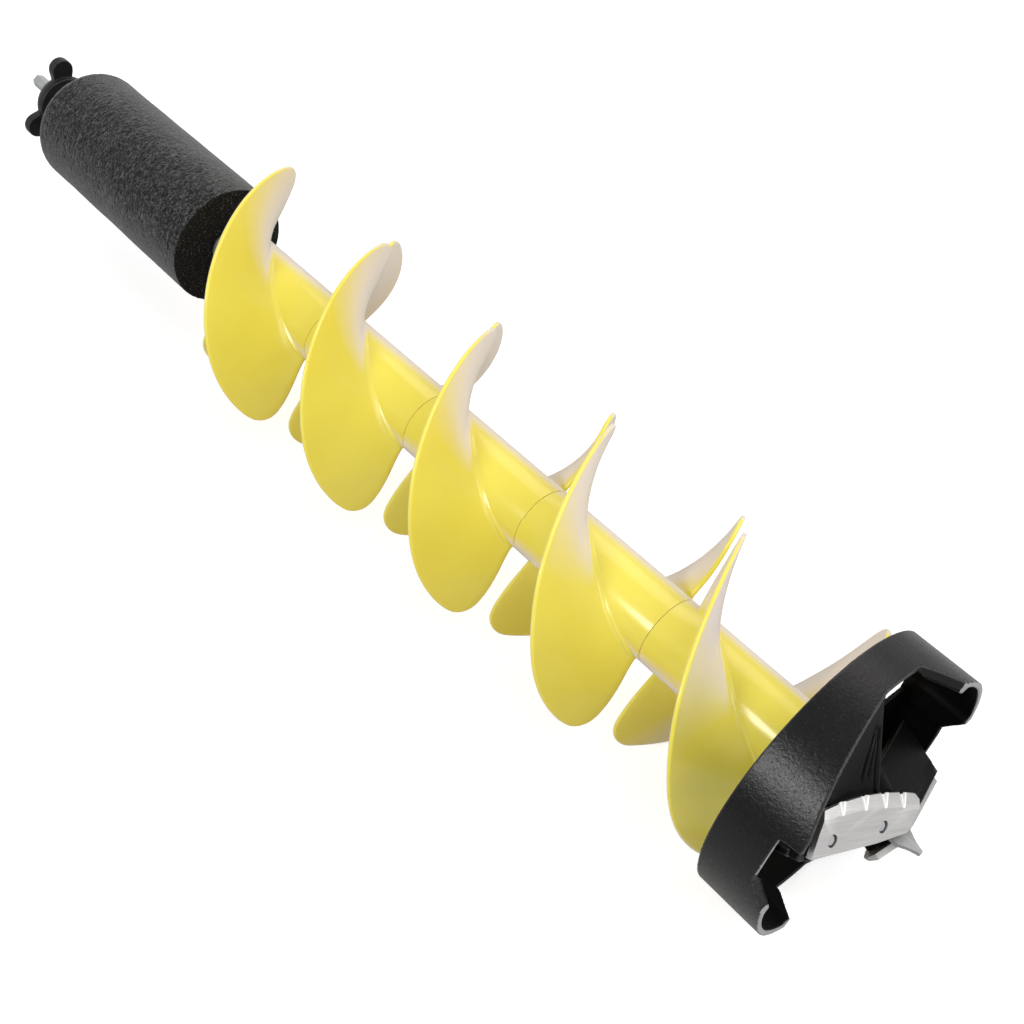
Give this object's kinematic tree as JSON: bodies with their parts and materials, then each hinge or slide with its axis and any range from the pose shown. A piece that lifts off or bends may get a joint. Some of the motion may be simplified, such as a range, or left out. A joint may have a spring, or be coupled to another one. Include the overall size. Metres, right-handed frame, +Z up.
{
  "type": "ice fishing auger",
  "caption": "Drill-driven ice fishing auger: hexagonal shank with a winged clamp knob, foam float, clipped-together moulded flights on a shaft, and a skirted cutting head with toothed blades.",
  "frame": {"origin": "centre of the hexagonal drive shank's end face, on the auger's axis", "axes": "+X along the shaft from the drill end towards the cutting head, +Z up with the auger lying on its side"},
  "size_m": [1.058, 0.203, 0.203],
  "materials": {
    "flight_plastic": "glossy, slightly translucent moulded yellow",
    "head_plastic": "semi-gloss moulded black with a fine ripple",
    "knob_plastic": "satin moulded black",
    "float_foam": "closed-cell foam with a wrinkled skin",
    "shaft_steel": "turned steel",
    "blade_steel": "fine-ground stainless",
    "zinc_hardware": "bright zinc plate",
    "ring_brass": "turned brass"
  },
  "bodies": {
    "auger": {"centre_shaft": "shaft_steel", "foam_float": "float_foam", "float_retaining_ring": "zinc_hardware", "upper_float_washer": "zinc_hardware", "lower_float_washer": "zinc_hardware", "stop_collar": "zinc_hardware", "collar_set_screw": "zinc_hardware", "flight_end_cap": "flight_plastic", "flight_segment_1": "flight_plastic", "flight_segment_2": "flight_plastic", "flight_segment_3": "flight_plastic", "flight_segment_4": "flight_plastic", "flight_segment_5": "flight_plastic", "cutting_head": "head_plastic", "head_cross_bolt": "zinc_hardware", "head_cross_nut": "zinc_hardware", "blade_1": "blade_steel", "blade_2": "blade_steel", "blade_screw_1": "zinc_hardware", "blade_screw_2": "zinc_hardware", "blade_screw_3": "zinc_hardware", "blade_screw_4": "zinc_hardware", "centre_point": "shaft_steel", "centre_point_pin": "zinc_hardware"},
    "shank": {"drive_shank": "shaft_steel"},
    "ring": {"thrust_ring": "ring_brass"},
    "knob": {"clamp_knob": "knob_plastic"}
  },
  "joints": [
    {"name": "knob_turn", "type": "hinge", "parent": "ring", "child": "knob", "pos_m": [0.0476, 0, 0], "axis": [-1, 0, 0], "range_deg": [0, 720]},
    {"name": "ring_travel", "type": "slide", "parent": "auger", "child": "ring", "axis": [-1, 0, 0], "range_m": [0, 0.003]},
    {"name": "shank_slide", "type": "slide", "parent": "auger", "child": "shank", "axis": [-1, 0, 0], "range_m": [0, 0.024]}
  ],
  "couplings": [
    {"joint": "knob_turn", "follows": "ring_travel", "rad_per_m": 4188.8}
  ]
}
